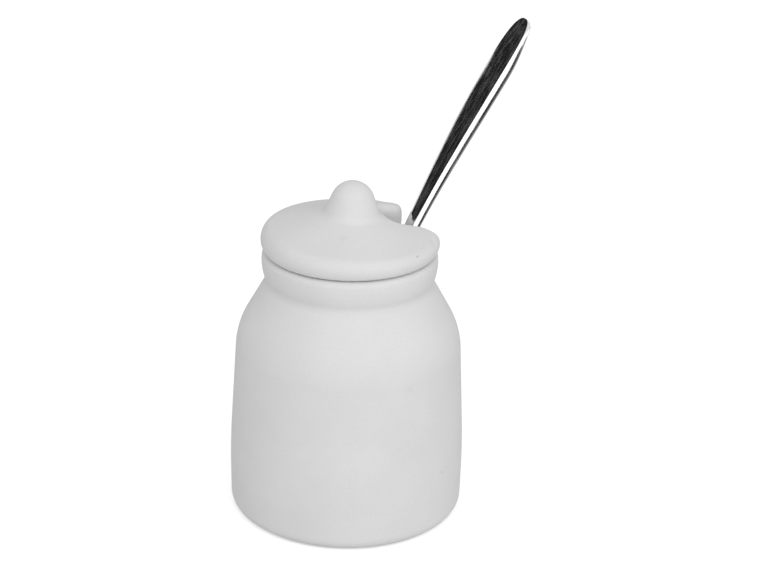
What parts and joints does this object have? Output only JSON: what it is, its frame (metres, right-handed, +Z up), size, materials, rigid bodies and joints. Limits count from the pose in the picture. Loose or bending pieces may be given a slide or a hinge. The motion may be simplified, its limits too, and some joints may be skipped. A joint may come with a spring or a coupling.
{
  "type": "honey pot with lid and spoon",
  "caption": "Small round ceramic jar with a rolled neck ring, a loose domed lid with a knob and a spoon notch, and a long steel spoon that leans out of it.",
  "frame": {"origin": "centre of the flat foot that the jar stands on", "axes": "+Z up along the jar's axis; the spoon leans out toward +X and +Y"},
  "size_m": [0.1029, 0.084, 0.1731],
  "materials": {
    "pot_ceramic": "unglazed matte, fine grain with a few small pits",
    "lid_ceramic": "unglazed matte, fine grain with a few small pits",
    "spoon_steel": "polished stainless steel with fine lengthwise streaks"
  },
  "bodies": {
    "pot": {"pot": "pot_ceramic"},
    "lid": {"lid": "lid_ceramic"},
    "spoon": {"spoon": "spoon_steel"}
  },
  "joints": [
    {"name": "lid_lift", "type": "slide", "parent": "pot", "child": "lid", "axis": [0, 0, 1], "range_m": [0, 0.1]},
    {"name": "spoon_lift", "type": "slide", "parent": "pot", "child": "spoon", "axis": [0.3783, 0.2054, 0.9026], "range_m": [0, 0.055]}
  ]
}
